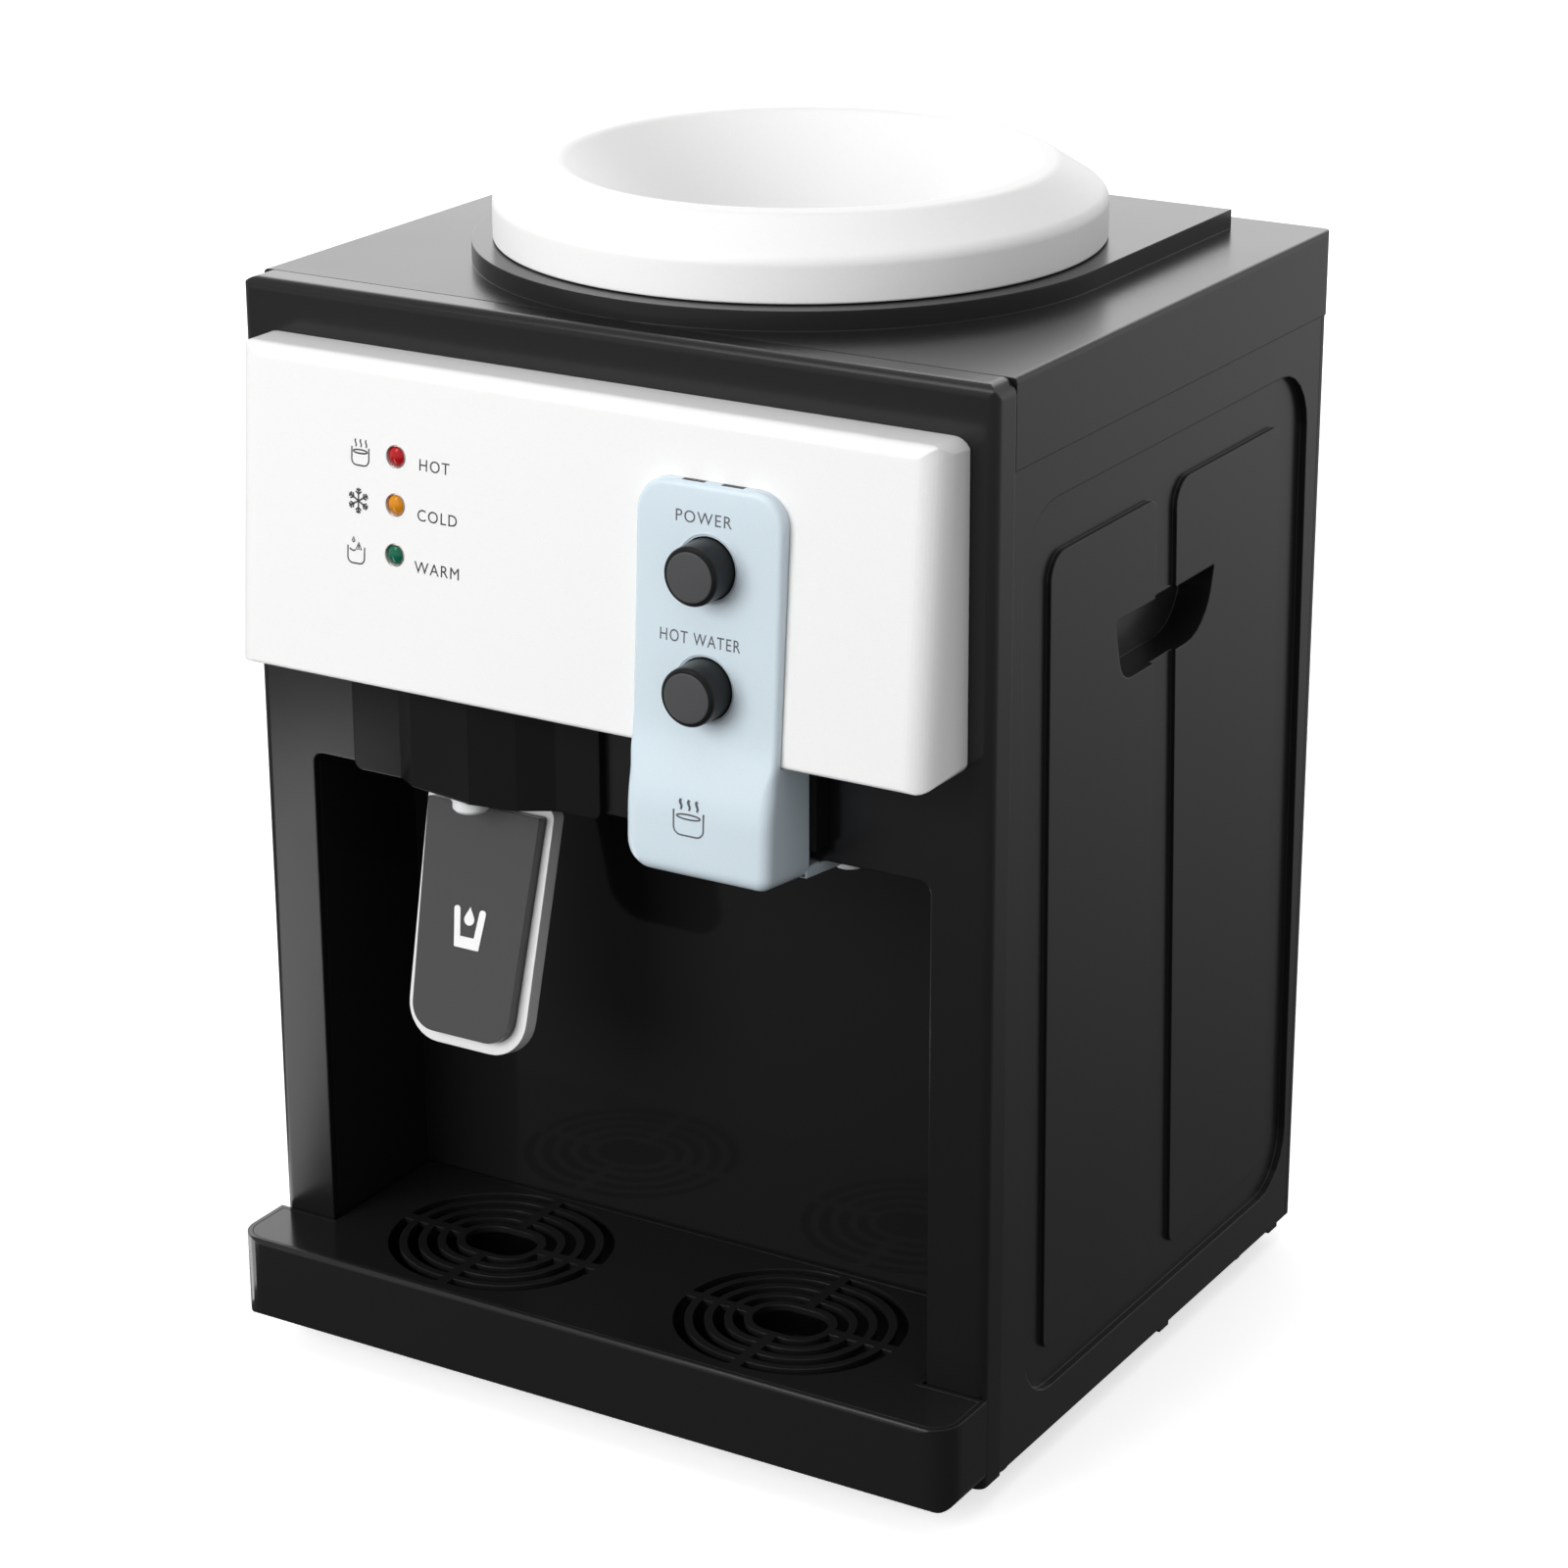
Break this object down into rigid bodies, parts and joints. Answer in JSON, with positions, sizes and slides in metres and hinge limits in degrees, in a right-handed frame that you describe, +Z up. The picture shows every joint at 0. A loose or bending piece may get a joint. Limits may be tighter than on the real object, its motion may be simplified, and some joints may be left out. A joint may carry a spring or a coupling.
{
  "type": "countertop water dispenser",
  "caption": "Black countertop water dispenser for an upturned bottle, with a white control fascia, a pale blue hot tap, a cold tap paddle, a dispensing bay and a pull-out drip tray.",
  "frame": {"origin": "on the surface it stands on, under the middle of its overall width and depth", "axes": "+X to the right as seen from the front, +Y from the front to the back, +Z up along the axis of the bottle seat"},
  "size_m": [0.283, 0.283, 0.4103],
  "materials": {
    "frame_black": "semi-gloss moulded black",
    "casing_black": "fine-textured satin black",
    "bay_black": "polished black",
    "pearl_white": "pearl white lacquer with a fine sparkle",
    "seat_white": "satin white",
    "pale_blue": "glossy pale blue",
    "button_grey": "satin dark grey",
    "paddle_silver": "silver lacquer",
    "paddle_grey": "dark grey, lighter towards the foot",
    "icon_white": "white inlay",
    "lens_red": "clear red",
    "lens_amber": "clear amber",
    "lens_green": "clear dark green",
    "spout_white": "milky white",
    "tray_black": "satin black",
    "rubber_black": "matt",
    "steel": "drawn stainless steel",
    "zinc": "zinc-plated steel",
    "aluminium": "milled and extruded",
    "foam": "cut foam",
    "ceramic": "fired white",
    "silicone": "translucent silicone",
    "circuit_green": "solder-masked laminate",
    "valve_cream": "natural nylon",
    "brass_band": "mica band with a brass sheath",
    "rocker_red": "red",
    "rocker_green": "green",
    "wire_black": "sleeved wire"
  },
  "bodies": {
    "casing": {"base_pan": "casing_black", "front_frame": "frame_black", "bay_liner": "bay_black", "top_cover": "casing_black", "left_side_panel": "casing_black", "right_side_panel": "casing_black", "back_cover": "casing_black", "feet": "rubber_black", "case_screws": "zinc", "fascia": "pearl_white", "hot_lens": "lens_red", "cold_lens": "lens_amber", "warm_lens": "lens_green", "indicator_board": "circuit_green", "hot_tap_housing": "pale_blue", "hot_tap_body": "frame_black", "button_guide": "frame_black", "power_spring": "steel", "hot_spring": "steel", "button_switches": "valve_cream", "hot_valve": "valve_cream", "hot_spout": "spout_white", "cold_tap_housing": "frame_black", "cold_valve": "valve_cream", "cold_spout": "spout_white", "paddle_pin": "steel", "paddle_spring": "steel", "cold_tank": "steel", "tank_foam": "foam", "baffle": "spout_white", "seat_gasket": "silicone", "cold_block": "aluminium", "peltier_module": "ceramic", "heat_sink": "aluminium", "fan_frame": "frame_black", "hot_tank": "steel", "heater_band": "brass_band", "thermostats": "frame_black", "tank_stand": "zinc", "cold_hose": "silicone", "feed_hose": "silicone", "hot_hose": "silicone", "drain_hose": "silicone", "power_board": "circuit_green", "mains_inlet": "frame_black", "switch_bezel": "frame_black", "wire_harness": "wire_black"},
    "paddle": {"paddle_frame": "paddle_silver", "paddle_insert": "paddle_grey", "paddle_icon": "icon_white"},
    "power_button": {"power_button": "button_grey"},
    "hot_water_button": {"hot_water_button": "button_grey"},
    "drip_tray": {"drip_tray": "tray_black"},
    "drip_grille": {"drip_grille": "tray_black"},
    "bottle_seat": {"bottle_seat": "seat_white"},
    "fan_rotor": {"fan_rotor": "frame_black"},
    "hot_rocker": {"hot_rocker": "rocker_red"},
    "cold_rocker": {"cold_rocker": "rocker_green"},
    "drain_cap": {"drain_cap": "tray_black"}
  },
  "joints": [
    {"name": "paddle_swing", "type": "hinge", "parent": "casing", "child": "paddle", "pos_m": [-0.0535, -0.0895, 0.228], "axis": [1, 0, 0], "range_deg": [0, 12], "stiffness_Nm_per_rad": 0.12, "springref_deg": -20.05, "deforming": ["paddle_spring"]},
    {"name": "power_press", "type": "slide", "parent": "casing", "child": "power_button", "axis": [0, 1, 0], "range_m": [0, 0.004], "stiffness_N_per_m": 500, "springref_m": -0.002, "deforming": ["power_spring"]},
    {"name": "hot_water_press", "type": "slide", "parent": "casing", "child": "hot_water_button", "axis": [0, 1, 0], "range_m": [0, 0.004], "stiffness_N_per_m": 500, "springref_m": -0.002, "deforming": ["hot_spring"]},
    {"name": "tray_pull", "type": "slide", "parent": "casing", "child": "drip_tray", "axis": [0, -1, 0], "range_m": [0, 0.09]},
    {"name": "grille_lift", "type": "slide", "parent": "drip_tray", "child": "drip_grille", "axis": [0, 0, 1], "range_m": [0, 0.03]},
    {"name": "seat_lift", "type": "slide", "parent": "casing", "child": "bottle_seat", "axis": [0, 0, 1], "range_m": [0, 0.06]},
    {"name": "fan_spin", "type": "hinge", "parent": "casing", "child": "fan_rotor", "pos_m": [0, 0.1165, 0.3], "axis": [0, 1, 0], "continuous": true},
    {"name": "hot_rocker_tip", "type": "hinge", "parent": "casing", "child": "hot_rocker", "pos_m": [-0.081, 0.1325, 0.08], "axis": [-1, 0, 0], "range_deg": [0, 14]},
    {"name": "cold_rocker_tip", "type": "hinge", "parent": "casing", "child": "cold_rocker", "pos_m": [-0.095, 0.1325, 0.08], "axis": [-1, 0, 0], "range_deg": [0, 14]},
    {"name": "drain_cap_pull", "type": "slide", "parent": "casing", "child": "drain_cap", "axis": [0, 1, 0], "range_m": [0, 0.025]}
  ]
}
